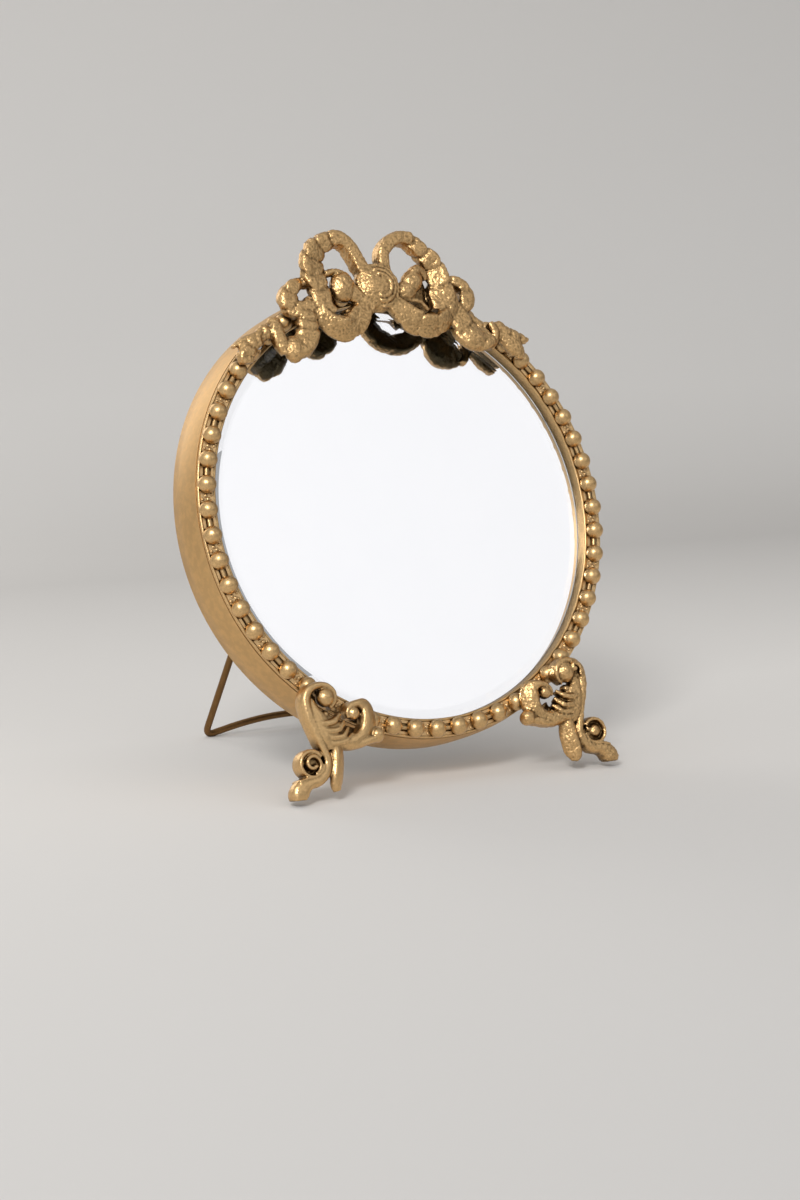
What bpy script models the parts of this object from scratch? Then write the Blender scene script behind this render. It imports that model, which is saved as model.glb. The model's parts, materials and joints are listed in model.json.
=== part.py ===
"""Tabletop vanity mirror: round glass in a beaded drum, with a ribbon bow, scroll feet and a wire easel.

Metres, +Z up. The mirror looks along -Y and leans back. Everything but the stand is modelled in the
mirror's own frame, whose origin is the centre of the bead circle: X to the right, Y into the drum and Z up
along the glass. The origin of the world is the middle of the footprint, on the table.
"""

from math import asin, cos, pi, radians, sin

import bmesh
import bpy
from mathutils import Matrix, Vector

MM = 0.001
GAP = 0.3 * MM  # between pieces that touch

# Driving dimensions of the mirror's own frame. A depth is measured from the plane of the bead centres
# towards the back.
LEAN = radians(17.93)  # the glass leans back from upright by this much
BEAD_CIRCLE = 108 * MM
RING_HEIGHT = 129.2 * MM  # from the table to the centre of the bead circle

# Bead bezel
BEAD_COUNT = 56
BEAD_START = radians(42.46)
BEAD_ALONG = 4.3 * MM  # half length of a bead along the ring
BEAD_ACROSS = 4.75 * MM
BEAD_PROUD = 4.5 * MM  # from the band's floor to the crest of a bead
BEAD_CLEAR = 8.3 * MM  # no bead this near to the middle of a casting's boss
BAND_FLOOR = 1.3 * MM
BEZEL_OPENING = 103.4 * MM  # radius
BEZEL_RIM = 113.7 * MM
BEZEL_SKIRT = 112.5 * MM
BEZEL_BACK = 5.75 * MM

# Glass pack
GLASS_RADIUS = 105.2 * MM
GLASS_THICK = 3.2 * MM
BEVEL_WIDE = 5.3 * MM
BEVEL_DEEP = 1.2 * MM
CUSHION_RADIUS = 104.5 * MM
CUSHION_THICK = 1.5 * MM
BOARD_RADIUS = 105.2 * MM
BOARD_THICK = 3 * MM

# Drum shell
SHELL_RADIUS = 114 * MM
SHELL_WALL = 1.2 * MM
SHELL_BACK = 28 * MM
SHELL_CORNER = 4 * MM
FLANGE_OPENING = 95 * MM
COVER_RADIUS = 106 * MM
COVER_THICK = 2 * MM
COVER_EDGE = 0.6 * MM  # chamfer round its back
COVER_SCREW_CIRCLE = 100.5 * MM
REAR_FACE = SHELL_BACK + 2 * GAP + COVER_THICK  # what lies on the cover starts at this depth

# Castings on the front
CAST_FRONT = -11 * MM
CAST_BACK = -3.5 * MM
BOSS_RADIUS = 3 * MM
FIXING_CIRCLE = 108.4 * MM  # the screws that hold the castings stand on this circle
CREST_FIXINGS = (radians(48.5), radians(90), radians(131.5))
FOOT_FIXINGS = (radians(-51.5), radians(-63.5))

# Stand
WIRE_RADIUS = 1.8 * MM
HINGE_UP = 41.6 * MM
HINGE_DEPTH = REAR_FACE + WIRE_RADIUS + GAP
LEG_TOP_X = 36 * MM
LEG_FOOT_X = 49.4 * MM
LEG_REACH = 179 * MM  # from the hinge to the sharp corner that the bend cuts
BAR_RISE = 10 * MM
PIVOT_END_X = 18 * MM
BEND_RADIUS = 4.5 * MM

# Stand brackets, as distances from the mirror's middle along X and from the hinge along Z
STRAP_THICK = 1 * MM
STRAP_INNER_X = 20 * MM
STRAP_OUTER_X = 31 * MM
STRAP_REACH = 10.5 * MM
STRAP_SCREW_X = 25.5 * MM
STRAP_SCREW_RISE = 6.7 * MM
LUG_INNER_X = 29.5 * MM
LUG_OUTER_X = 38.5 * MM
LUG_ROOT = 4 * MM
LUG_TOP = 9.5 * MM
LUG_FACE = 6.5 * MM  # length of the face that the open leg lies against
LUG_NOSE = 3.4 * MM

# Screws
HOLE_RADIUS = 1.8 * MM
SHANK_RADIUS = 1.5 * MM
HEAD_RADIUS = 2.6 * MM
HEAD_HIGH = 1.7 * MM
COVER_SCREW_REACH = 6 * MM
CAST_SCREW_BITE = 2.2 * MM  # thread inside the casting

ROUND_STEPS = 72

COLLECTION = bpy.data.collections.new("vanity_mirror")
CUTTERS = bpy.data.collections.new("cutters")


def clear_scene():
    for obj in list(bpy.data.objects):
        bpy.data.objects.remove(obj)
    bpy.context.scene.collection.children.link(COLLECTION)
    bpy.context.scene.collection.children.link(CUTTERS)


def material(name, colour, roughness, metallic, transmission=0.0):
    made = bpy.data.materials.new(name)
    made.use_nodes = True
    shader = made.node_tree.nodes["Principled BSDF"]
    shader.inputs["Base Color"].default_value = (*colour, 1)
    shader.inputs["Roughness"].default_value = roughness
    shader.inputs["Metallic"].default_value = metallic
    shader.inputs["Transmission Weight"].default_value = transmission
    made.diffuse_color = (*colour, 1)
    return made


def add_object(name, mesh, parent, finish, collection=COLLECTION):
    obj = bpy.data.objects.new(name, mesh)
    collection.objects.link(obj)
    obj.parent = parent
    if finish:
        mesh.materials.append(finish)
    else:
        obj.hide_render = True
        obj.display_type = "WIRE"
    return obj


def empty(name, parent, location, turn_x):
    obj = bpy.data.objects.new(name, None)
    COLLECTION.objects.link(obj)
    obj.parent = parent
    obj.location = location
    obj.rotation_euler = (turn_x, 0, 0)
    obj.empty_display_size = 0.02
    return obj


def turned(name, profile, parent, finish, steps=ROUND_STEPS, closed=True):
    """A shape turned about the mirror's axis, from (radius, depth) points in order down the outer side.

    It is turned about its own Z, which is laid along the mirror frame's Y.
    """
    mesh = bpy.data.meshes.new(name)
    count = len(profile)
    edges = [(i, i + 1) for i in range(count - 1)]
    if closed:
        edges.append((count - 1, 0))
    mesh.from_pydata([(radius, 0, depth) for radius, depth in profile], edges, [])
    obj = add_object(name, mesh, parent, finish)
    obj.rotation_euler = (-pi / 2, 0, 0)
    spin = obj.modifiers.new("Turn", "SCREW")
    spin.axis = "Z"
    spin.steps = steps
    spin.render_steps = steps
    spin.use_merge_vertices = True
    spin.merge_threshold = 0.00001
    spin.use_smooth_shade = True
    return obj


def on_ring(radius, angle, depth=0.0):
    return Vector((radius * cos(angle), depth, radius * sin(angle)))


def arc(centre, radius, start, end, steps):
    """Points of an arc about (a, b), as (a, b) pairs."""
    angles = [start + (end - start) * i / steps for i in range(steps + 1)]
    return [(centre[0] + radius * cos(t), centre[1] + radius * sin(t)) for t in angles]


def cylinder_mesh(name, radius, length, sides=16):
    """A cylinder about Z from 0 to length."""
    mesh = bpy.data.meshes.new(name)
    form = bmesh.new()
    bmesh.ops.create_cone(
        form, cap_ends=True, segments=sides, radius1=radius, radius2=radius, depth=length,
        matrix=Matrix.Translation((0, 0, length / 2)),
    )
    form.to_mesh(mesh)
    form.free()
    return mesh


def joined_mesh(name, parts):
    """One mesh from (mesh, matrix) pairs, still as separate bodies."""
    form = bmesh.new()
    for mesh, matrix in parts:
        piece = mesh.copy()
        piece.transform(matrix)
        form.from_mesh(piece)
        bpy.data.meshes.remove(piece)
    made = bpy.data.meshes.new(name)
    form.to_mesh(made)
    form.free()
    return made


def boolean(obj, operation, other, label):
    step = obj.modifiers.new(label, "BOOLEAN")
    step.operation = operation
    step.solver = "EXACT"
    step.object = other


def into_depth(location):
    """Places a shape modelled along +Z so that it runs into the drum from location."""
    return Matrix.Translation(location) @ Matrix.Rotation(-pi / 2, 4, "X")


def drill(obj, places, radius, start, end, parent, label):
    """Cuts round holes along the mirror's axis, from depth start to end, at (x, z) places."""
    hole = cylinder_mesh("hole", radius, end - start)
    spots = [(hole, into_depth(Vector((x, start, z)))) for x, z in places]
    cutter = add_object(f"{obj.name}_{label}", joined_mesh(label, spots), parent, None, CUTTERS)
    boolean(obj, "DIFFERENCE", cutter, label)


def flat_plate(points, thick, parent):
    """A straight-sided outline of (x, y) points as a filled curve, thick along Z."""
    curve = bpy.data.curves.new("plate", "CURVE")
    curve.dimensions = "2D"
    curve.fill_mode = "BOTH"
    curve.extrude = thick / 2
    spline = curve.splines.new("POLY")
    spline.points.add(len(points) - 1)
    spline.use_cyclic_u = True
    for point, (x, y) in zip(spline.points, points):
        point.co = (x, y, 0, 1)
    obj = bpy.data.objects.new("plate", curve)
    COLLECTION.objects.link(obj)
    obj.parent = parent
    return obj


def solid_from_curve(curve_obj, name, finish, collection=COLLECTION):
    """The curve's own surface as a closed mesh object in the same place."""
    bpy.context.view_layer.update()
    graph = bpy.context.evaluated_depsgraph_get()
    mesh = bpy.data.meshes.new_from_object(curve_obj.evaluated_get(graph))
    form = bmesh.new()
    form.from_mesh(mesh)
    bmesh.ops.remove_doubles(form, verts=form.verts, dist=0.00001)
    bmesh.ops.recalc_face_normals(form, faces=form.faces)
    form.to_mesh(mesh)
    form.free()
    mesh.materials.clear()
    parent = curve_obj.parent
    local = curve_obj.matrix_local.copy()
    bpy.data.objects.remove(curve_obj)
    obj = add_object(name, mesh, parent, finish, collection)
    obj.matrix_local = local
    return obj


def cut_out(name, outlines, front, back, parent, finish):
    """A flat casting: smooth closed outlines of (x, z) points in millimetres, filled from front to back."""
    curve = bpy.data.curves.new(name, "CURVE")
    curve.dimensions = "2D"
    curve.fill_mode = "BOTH"
    curve.resolution_u = 3
    curve.extrude = (back - front) / 2
    for outline in outlines:
        spline = curve.splines.new("BEZIER")
        spline.bezier_points.add(len(outline) - 1)
        spline.use_cyclic_u = True
        for point, (x, z) in zip(spline.bezier_points, outline):
            point.co = (x * MM, z * MM, 0)
            point.handle_left_type = "AUTO"
            point.handle_right_type = "AUTO"
    flat = bpy.data.objects.new(name + "_outline", curve)
    COLLECTION.objects.link(flat)
    flat.parent = parent
    flat.location = (0, (front + back) / 2, 0)
    flat.rotation_euler = (pi / 2, 0, 0)
    return solid_from_curve(flat, name, finish)


def mirrored(outline):
    return [(-x, z) for x, z in reversed(outline)]


# ---------------------------------------------------------------- frame and glass


def make_shell(frame, finish):
    """The drum: side wall, rounded rear corner and the flange that carries the back cover."""
    outer, wall, back, corner = SHELL_RADIUS, SHELL_WALL, SHELL_BACK, SHELL_CORNER
    front = BAND_FLOOR + GAP
    middle = (outer - corner, back - corner)
    profile = [(outer, front)]
    profile += arc(middle, corner, 0, pi / 2, 4)
    profile += [(FLANGE_OPENING, back), (FLANGE_OPENING, back - wall)]
    profile += arc(middle, corner - wall, pi / 2, 0, 4)
    profile += [(outer - wall, front)]
    shell = turned("shell_drum", profile[::-1], frame, finish)
    drill(shell, cover_screw_places(), HOLE_RADIUS, back - 3 * wall, back + wall, frame, "cover_holes")
    return shell


def make_bezel(frame, finish):
    """The cast front ring: two lips, a sunk band between them and the beads on it."""
    lip = 0.9 * MM
    rim_middle = (BEZEL_RIM - lip, 0.3 * MM)
    inner_middle = (BEZEL_OPENING + lip, BAND_FLOOR)
    profile = [(BEZEL_RIM, BAND_FLOOR)]
    profile += arc(rim_middle, lip, 0, -pi, 4)
    profile += [(BEZEL_RIM - 2 * lip, BAND_FLOOR), (BEZEL_OPENING + 2 * lip, BAND_FLOOR)]
    profile += arc(inner_middle, lip, 0, -pi, 4)[1:]
    profile += [(BEZEL_OPENING, BEZEL_BACK), (BEZEL_SKIRT, BEZEL_BACK), (BEZEL_SKIRT, BAND_FLOOR)]
    bezel = turned("bead_bezel", profile, frame, finish, steps=2 * BEAD_COUNT)
    beads = add_object("beads", bead_domes(), frame, None, CUTTERS)
    boolean(bezel, "UNION", beads, "beads")
    drill(bezel, fixing_places(), HOLE_RADIUS, BAND_FLOOR - 2 * MM, BEZEL_BACK + MM, frame, "fixing_holes")
    return bezel


def bead_domes():
    """Every bead that isn't under a casting's boss, as egg shapes sunk in the band."""
    egg = bpy.data.meshes.new("egg")
    form = bmesh.new()
    bmesh.ops.create_uvsphere(form, u_segments=10, v_segments=6, radius=1)
    form.to_mesh(egg)
    form.free()
    size = Matrix.Diagonal((BEAD_ACROSS, BEAD_PROUD, BEAD_ALONG, 1))
    stand_up = Matrix.Rotation(pi / 2, 4, "X")
    fixings = [Vector((x, BAND_FLOOR, z)) for x, z in fixing_places()]
    places = []
    for i in range(BEAD_COUNT):
        angle = BEAD_START + i * 2 * pi / BEAD_COUNT
        centre = on_ring(BEAD_CIRCLE, angle, BAND_FLOOR)
        if min((centre - fixing).length for fixing in fixings) < BEAD_CLEAR:
            continue
        turn = Matrix.Rotation(-angle, 4, "Y")
        places.append((egg, Matrix.Translation(centre) @ turn @ size @ stand_up))
    return joined_mesh("beads", places)


def fixing_places():
    """The (x, z) of every screw that holds the bow or a foot to the bezel."""
    angles = list(CREST_FIXINGS)
    for angle in FOOT_FIXINGS:
        angles += [angle, pi - angle]
    return [(FIXING_CIRCLE * cos(angle), FIXING_CIRCLE * sin(angle)) for angle in angles]


def cover_screw_places():
    angles = [pi / 4 + quarter * pi / 2 for quarter in range(4)]
    return [(COVER_SCREW_CIRCLE * cos(angle), COVER_SCREW_CIRCLE * sin(angle)) for angle in angles]


def make_glass_pack(frame, glass, felt, board):
    front = BEZEL_BACK + GAP
    back = front + GLASS_THICK
    profile = [(0, back), (GLASS_RADIUS, back), (GLASS_RADIUS, front + BEVEL_DEEP)]
    profile += [(GLASS_RADIUS - BEVEL_WIDE, front), (0, front)]
    turned("mirror_glass", profile, frame, glass, closed=False)
    back = disc("glass_cushion", CUSHION_RADIUS, back + GAP, CUSHION_THICK, frame, felt)
    return disc("backing_board", BOARD_RADIUS, back + GAP, BOARD_THICK, frame, board)


def disc(name, radius, front, thick, frame, finish):
    """A round plate. Returns the depth of its back face."""
    back = front + thick
    turned(name, [(0, back), (radius, back), (radius, front), (0, front)], frame, finish, closed=False)
    return back


def make_clips(frame, board_back, finish):
    """Angle clips between the shell's side wall and the back of the glass pack."""
    thick, wide, inner, upright = 1 * MM, 12 * MM, 99 * MM, 8 * MM
    outer = SHELL_RADIUS - SHELL_WALL - 0.5 * MM
    front = board_back + GAP
    flat = [(inner, front), (outer, front), (outer, front + upright), (outer - thick, front + upright)]
    flat += [(outer - thick, front + thick), (inner, front + thick)]
    for number in range(4):
        plate = flat_plate(flat, wide, frame)
        plate.rotation_euler = (0, number * pi / 2, 0)
        solid_from_curve(plate, f"glass_clip_{number + 1}", finish)


# ---------------------------------------------------------------- castings

BOW_HALF = [
    (4.5, 123), (8, 131), (17, 137.5), (26, 133.5), (33, 128), (37.5, 121.5), (43, 116), (49.5, 113),
    (53.5, 105.5), (50.5, 98.4), (55, 93.5), (62, 92), (70, 89.5), (76.5, 86), (82, 82), (78, 78),
    (74, 71), (66, 75.5), (59, 78), (51, 73.5), (45, 77), (39, 82), (32, 85), (20, 83), (12, 88), (7, 96),
]
BOW_EYE = [(10.5, 113), (10.5, 121), (13.5, 127.5), (18.5, 125), (22, 119.5), (17.5, 113.5)]

FOOT_OUTLINE = [
    (73.5, -81.3), (79.5, -85), (81.7, -92), (80.7, -100), (77.7, -108), (77, -112.8), (82.5, -112.6),
    (87.6, -116.2), (87.4, -122.5), (91, -126.5), (93.7, -132), (90.5, -139), (84.8, -139.5),
    (82.7, -133.5), (78, -129), (73.5, -129.5), (69.5, -133), (66, -131), (63.6, -124), (61, -116.5),
    (55, -114), (48, -112.8), (42.5, -112), (42, -107.5), (45.5, -102.5), (45.3, -96), (48.5, -91.5),
    (54, -92.5), (57.2, -97.5), (61, -97.5), (63, -93.5), (61.5, -87), (66, -82.3),
]


def make_casting(name, outlines, places, frame, finish):
    """A flat casting with a tapped boss behind it at each (x, z) place."""
    casting = cut_out(name, outlines, CAST_FRONT, CAST_BACK, frame, finish)
    sunk = 2 * MM
    boss = cylinder_mesh("boss", BOSS_RADIUS, BAND_FLOOR - GAP - CAST_BACK + sunk)
    spots = [(boss, into_depth(Vector((x, CAST_BACK - sunk, z)))) for x, z in places]
    bosses = add_object(f"{name}_bosses", joined_mesh("bosses", spots), frame, None, CUTTERS)
    boolean(casting, "UNION", bosses, "bosses")
    drill(casting, places, HOLE_RADIUS, CAST_BACK - 3 * MM, BAND_FLOOR + MM, frame, "tapped_holes")
    return casting


def make_bow(frame, finish):
    outline = BOW_HALF + [(0, 96.4)] + mirrored(BOW_HALF) + [(0, 121.5)]
    make_casting("bow_crest", [outline, BOW_EYE, mirrored(BOW_EYE)], fixing_places()[:3], frame, finish)


def make_feet(frame, world, finish):
    """Both feet, cut level where their toes stand on the table."""
    table = bpy.data.meshes.new("table")
    form = bmesh.new()
    bmesh.ops.create_cube(form, size=1, matrix=Matrix.Diagonal((0.4, 0.4, 0.04, 1)))
    form.to_mesh(table)
    form.free()
    block = add_object("table_cut", table, world, None, CUTTERS)
    block.location = (0, 0, -0.02)
    for side, name in ((-1, "foot_left"), (1, "foot_right")):
        outline = FOOT_OUTLINE if side > 0 else mirrored(FOOT_OUTLINE)
        places = [place for place in fixing_places()[3:] if place[0] * side > 0]
        foot = make_casting(name, [outline], places, frame, finish)
        boolean(foot, "DIFFERENCE", block, "level_toe")


# ---------------------------------------------------------------- back, stand and screws


def make_cover(frame, finish):
    front = SHELL_BACK + GAP
    back = front + COVER_THICK
    profile = [(0, back), (COVER_RADIUS - COVER_EDGE, back), (COVER_RADIUS, back - COVER_EDGE)]
    profile += [(COVER_RADIUS, front), (0, front)]
    cover = turned("back_cover", profile, frame, finish, closed=False)
    holes = cover_screw_places() + bracket_screw_places()
    drill(cover, holes, HOLE_RADIUS, front - MM, back + MM, frame, "screw_holes")


def bracket_screw_places():
    """Two for each bracket, above and below the stand's turned-in end."""
    rises = (-STRAP_SCREW_RISE, STRAP_SCREW_RISE)
    return [(side * STRAP_SCREW_X, HINGE_UP + rise) for side in (-1, 1) for rise in rises]


def extruded(name, points, x_from, x_to, frame, finish, collection=COLLECTION):
    """A closed (z, depth) outline run along X."""
    outline = [(depth, up) for up, depth in points]
    obj = flat_plate(outline, abs(x_to - x_from), frame)
    obj.location = ((x_from + x_to) / 2, 0, 0)
    obj.rotation_euler = (pi / 2, 0, pi / 2)
    return solid_from_curve(obj, name, finish, collection)


def strap_profile():
    """A flat strap that arches over the stand's end and lies on the cover on both sides of it."""
    inner = WIRE_RADIUS + GAP
    outer = inner + STRAP_THICK
    top = REAR_FACE + STRAP_THICK
    middle = (HINGE_UP, HINGE_DEPTH)
    points = [(HINGE_UP - STRAP_REACH, REAR_FACE), (HINGE_UP - inner, REAR_FACE)]
    points += arc(middle, inner, pi, 0, 8)
    points += [(HINGE_UP + inner, REAR_FACE), (HINGE_UP + STRAP_REACH, REAR_FACE)]
    points += [(HINGE_UP + STRAP_REACH, top), (HINGE_UP + outer, top)]
    points += arc(middle, outer, 0, pi, 8)
    return points + [(HINGE_UP - outer, top), (HINGE_UP - STRAP_REACH, top)]


def lug_profile(open_angle):
    """The hook over the leg: its face lies along the open leg's upper side."""
    along = Vector((-cos(open_angle), sin(open_angle)))
    across = Vector((sin(open_angle), cos(open_angle)))
    face = Vector((HINGE_UP, HINGE_DEPTH)) + across * (WIRE_RADIUS + GAP)
    tip = face + along * LUG_FACE
    heel = tip + across * LUG_NOSE
    root = HINGE_UP + LUG_ROOT
    top = HINGE_UP + LUG_TOP
    points = [(root, REAR_FACE), (top, REAR_FACE), (top, REAR_FACE + 3.2 * MM)]
    return points + [tuple(heel), tuple(tip), tuple(face), (root, REAR_FACE + 1.6 * MM)]


def make_brackets(frame, open_angle, finish):
    """A strap over each of the stand's ends, with the lug beside it that stops the open stand."""
    for side, name in ((-1, "hinge_bracket_left"), (1, "hinge_bracket_right")):
        ends = (side * STRAP_INNER_X, side * STRAP_OUTER_X)
        strap = extruded(name, strap_profile(), *ends, frame, finish)
        ends = (side * LUG_INNER_X, side * LUG_OUTER_X)
        lug = extruded(name + "_lug", lug_profile(open_angle), *ends, frame, None, CUTTERS)
        boolean(strap, "UNION", lug, "lug")
        places = [place for place in bracket_screw_places() if place[0] * side > 0]
        drill(strap, places, HOLE_RADIUS, REAR_FACE - MM, REAR_FACE + 2 * MM, frame, "screw_holes")


def stand_points():
    """The wire's centre line with the stand hanging straight down from its hinge: (x, fall) points."""
    half = [(PIVOT_END_X, 0)]
    half += bend((LEG_TOP_X, 0), (-1, 0), leg_direction())
    half += bend((LEG_FOOT_X, LEG_REACH), (-leg_direction()[0], -leg_direction()[1]), bar_direction())
    half += bar_arch()
    return half


def stand_fall():
    """From the hinge down to the lowest centre line of the wire, along the leg's plane."""
    return max(fall for x, fall in stand_points())


def leg_direction():
    way = Vector((LEG_FOOT_X - LEG_TOP_X, LEG_REACH))
    return way.normalized()


def bar_direction():
    """The way the bar's parabola leaves its corner."""
    return Vector((-1, -2 * BAR_RISE / LEG_FOOT_X)).normalized()


def bar_arch():
    """From near the corner to the middle of the bar, on a parabola."""
    steps = 9
    points = []
    for i in range(1, steps + 1):
        x = LEG_FOOT_X * (1 - i / steps)
        points.append((x, LEG_REACH - BAR_RISE * (1 - (x / LEG_FOOT_X) ** 2)))
    return points


def bend(corner, back, ahead, steps=5):
    """A rounded corner between a line that arrives from direction back and one that leaves along ahead."""
    corner, back, ahead = Vector(corner), Vector(back), Vector(ahead)
    between = back.angle(ahead)
    reach = BEND_RADIUS / abs(sin(between / 2) / cos(between / 2))
    start, end = corner + back * reach, corner + ahead * reach
    points = []
    for i in range(steps + 1):
        t = i / steps
        one, two = start.lerp(corner, t), corner.lerp(end, t)
        points.append(tuple(one.lerp(two, t)))
    return points


def make_stand(hinge, finish):
    """One wire: turned-in ends in the brackets, two legs and an arched bar between their feet."""
    half = stand_points()
    line = half + [(-x, fall) for x, fall in reversed(half[:-1])]
    curve = bpy.data.curves.new("stand_wire", "CURVE")
    curve.dimensions = "3D"
    curve.bevel_depth = WIRE_RADIUS
    curve.bevel_resolution = 3
    curve.use_fill_caps = True
    spline = curve.splines.new("POLY")
    spline.points.add(len(line) - 1)
    for point, (x, fall) in zip(spline.points, line):
        point.co = (x, 0, -fall, 1)
    wire = bpy.data.objects.new("stand_curve", curve)
    COLLECTION.objects.link(wire)
    wire.parent = hinge
    stand = solid_from_curve(wire, "stand_wire", finish)
    stand.data.shade_smooth()
    stand.data.set_sharp_from_angle(angle=radians(35))


def make_screw(name, place, seat, reach, frame, finish):
    """A pan-head screw put in from the back at (x, z), its head on depth seat and its shank reach long."""
    x, z = place
    screw = add_object(name, cylinder_mesh(name, HEAD_RADIUS, HEAD_HIGH), frame, finish)
    screw.location = (x, seat, z)
    screw.rotation_euler = (-pi / 2, 0, 0)
    sunk = HEAD_HIGH / 2
    rod = cylinder_mesh("shank", SHANK_RADIUS, reach + sunk, 10)
    shank = add_object(name + "_shank", rod, frame, None, CUTTERS)
    shank.location = (x, seat + sunk, z)
    shank.rotation_euler = (pi / 2, 0, 0)
    boolean(screw, "UNION", shank, "shank")


def make_screws(frame, finish):
    seat = BEZEL_BACK + GAP
    reach = seat - CAST_BACK + CAST_SCREW_BITE
    names = [f"crest_screw_{n + 1}" for n in range(3)] + [f"foot_screw_{n + 1}" for n in range(4)]
    for name, place in zip(names, fixing_places()):
        make_screw(name, place, seat, reach, frame, finish)
    for number, place in enumerate(cover_screw_places()):
        make_screw(f"cover_screw_{number + 1}", place, REAR_FACE, COVER_SCREW_REACH, frame, finish)
    seat = REAR_FACE + STRAP_THICK + GAP
    for number, place in enumerate(bracket_screw_places()):
        make_screw(f"bracket_screw_{number + 1}", place, seat, COVER_SCREW_REACH, frame, finish)


def main():
    clear_scene()
    gold = material("antique_gold", (0.42, 0.27, 0.11), 0.4, 0.9)
    glass = material("silvered_glass", (0.9, 0.92, 0.93), 0.03, 1.0)
    felt = material("felt", (0.12, 0.1, 0.09), 0.95, 0)
    board = material("hardboard", (0.3, 0.2, 0.12), 0.8, 0)
    cover = material("cover_board", (0.05, 0.04, 0.035), 0.85, 0)
    steel = material("zinc_steel", (0.6, 0.6, 0.58), 0.35, 1.0)

    world = empty("footprint", None, (0, 0, 0), 0)
    hinge_up = RING_HEIGHT + HINGE_UP * cos(LEAN) - HINGE_DEPTH * sin(LEAN)
    stand_slope = asin((hinge_up - WIRE_RADIUS) / stand_fall())
    open_angle = pi / 2 - stand_slope + LEAN
    frame = empty("mirror_frame", world, (0, ring_y(stand_slope), RING_HEIGHT), -LEAN)
    hinge = empty("stand_hinge", frame, (0, HINGE_DEPTH, HINGE_UP), open_angle)

    make_shell(frame, gold)
    make_bezel(frame, gold)
    board_back = make_glass_pack(frame, glass, felt, board)
    make_clips(frame, board_back, steel)
    make_bow(frame, gold)
    make_feet(frame, world, gold)
    make_cover(frame, cover)
    make_brackets(frame, open_angle, steel)
    make_stand(hinge, gold)
    make_screws(frame, steel)


def ring_y(stand_slope):
    """Where the bead circle's centre stands, so that the footprint's middle is at y = 0."""
    toe_up = (CAST_FRONT * sin(LEAN) - RING_HEIGHT) / cos(LEAN)
    toe_front = toe_up * sin(LEAN) + CAST_FRONT * cos(LEAN)
    hinge_y = HINGE_UP * sin(LEAN) + HINGE_DEPTH * cos(LEAN)
    stand_back = hinge_y + stand_fall() * cos(stand_slope) + WIRE_RADIUS
    return -(toe_front + stand_back) / 2


main()
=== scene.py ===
import json
from math import atan2, cos, degrees, hypot, pi, radians, sin, sqrt, tan

import bmesh
import bpy
import numpy as np
from mathutils import Matrix, Vector, noise


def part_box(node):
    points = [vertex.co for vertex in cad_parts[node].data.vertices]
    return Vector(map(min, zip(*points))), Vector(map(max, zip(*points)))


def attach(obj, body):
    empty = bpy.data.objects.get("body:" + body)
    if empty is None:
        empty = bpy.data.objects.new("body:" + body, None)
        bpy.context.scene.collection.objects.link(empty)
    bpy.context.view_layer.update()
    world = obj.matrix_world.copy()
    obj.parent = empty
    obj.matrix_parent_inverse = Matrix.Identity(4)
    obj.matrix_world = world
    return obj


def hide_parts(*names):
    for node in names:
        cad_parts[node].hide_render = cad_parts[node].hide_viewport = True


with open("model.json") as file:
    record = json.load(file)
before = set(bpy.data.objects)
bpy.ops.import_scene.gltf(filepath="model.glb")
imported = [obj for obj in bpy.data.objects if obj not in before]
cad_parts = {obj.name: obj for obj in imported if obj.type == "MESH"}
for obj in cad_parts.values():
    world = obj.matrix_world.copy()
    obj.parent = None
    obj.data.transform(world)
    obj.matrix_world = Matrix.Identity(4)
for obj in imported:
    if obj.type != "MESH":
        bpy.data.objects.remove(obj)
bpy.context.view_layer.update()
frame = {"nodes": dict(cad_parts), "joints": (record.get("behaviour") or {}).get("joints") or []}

# The mirror's own frame, in millimetres: x to the right, d into the drum from the plane of the bead
# centres, v up along the glass. RING is the bead circle's centre in the world.
MM = 0.001
LEAN = radians(17.93)
RING = Vector((0, -0.0371, 0.1292))
MIRROR = Matrix.Translation(RING) @ Matrix.Rotation(-LEAN, 4, "X") @ Matrix.Scale(MM, 4)

# Bezel
BEAD_CIRCLE = 108.5
BEAD_RADIUS = 4.45
BEAD_COUNT = 56
BEAD_START = radians(42.46)
BAND_FLOOR = 1.3
BEZEL_OPENING = 103.4

# Casting bosses: the circle that they stand on, and where
BOSS_CIRCLE = 108.4
CREST = [radians(a) for a in (48.5, 90, 131.5)]
FEET = [radians(a) for a in (-51.5, -128.5, -63.5, -116.5)]

# Glass
GLASS_FRONT = 6.05
GLASS_BACK = 8.2
GLASS_EDGE = 103.3
BEVEL_START = 98.0
BEVEL_DEEP = 1.1

# Casing and cover
CASING_RADIUS = 114.3
CASING_WALL = 1.2
CASING_BACK = 28
CASING_CORNER = 4
FLANGE_OPENING = 95
COVER_FRONT = 28.3
COVER_BACK = 30.3
COVER_RADIUS = 106
COVER_SCREW_CIRCLE = 100.5
COVER_SEAT = 30.6  # where the heads of the cover screws start
STRAP_SEAT = 31.9  # and those of the bracket screws

# Stand: the wire laid flat, with x from its middle and its reach from the hinge
WIRE_RADIUS = 1.8
PIVOT_END_X = 18
LEG_TOP_X = 36
LEG_FOOT_X = 49.4
LEG_REACH = 179  # to the sharp corner that the bend cuts
BAR_RISE = 10
BEND_RADIUS = 4.5
HINGE_UP = 41.6  # on the back, above the bead circle's centre

NEAR_AXIS = 0.001  # a lathed disc starts this far from its axis


def new_object(name, mesh, finish, body="mirror", replaces=()):
    obj = bpy.data.objects.new(name, mesh)
    bpy.context.scene.collection.objects.link(obj)
    mesh.materials.clear()
    mesh.materials.append(finish)
    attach(obj, body)
    if replaces:
        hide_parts(*replaces)


def placed(mesh, matrix=MIRROR):
    mesh.transform(matrix)
    mesh.update()
    return mesh


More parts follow.
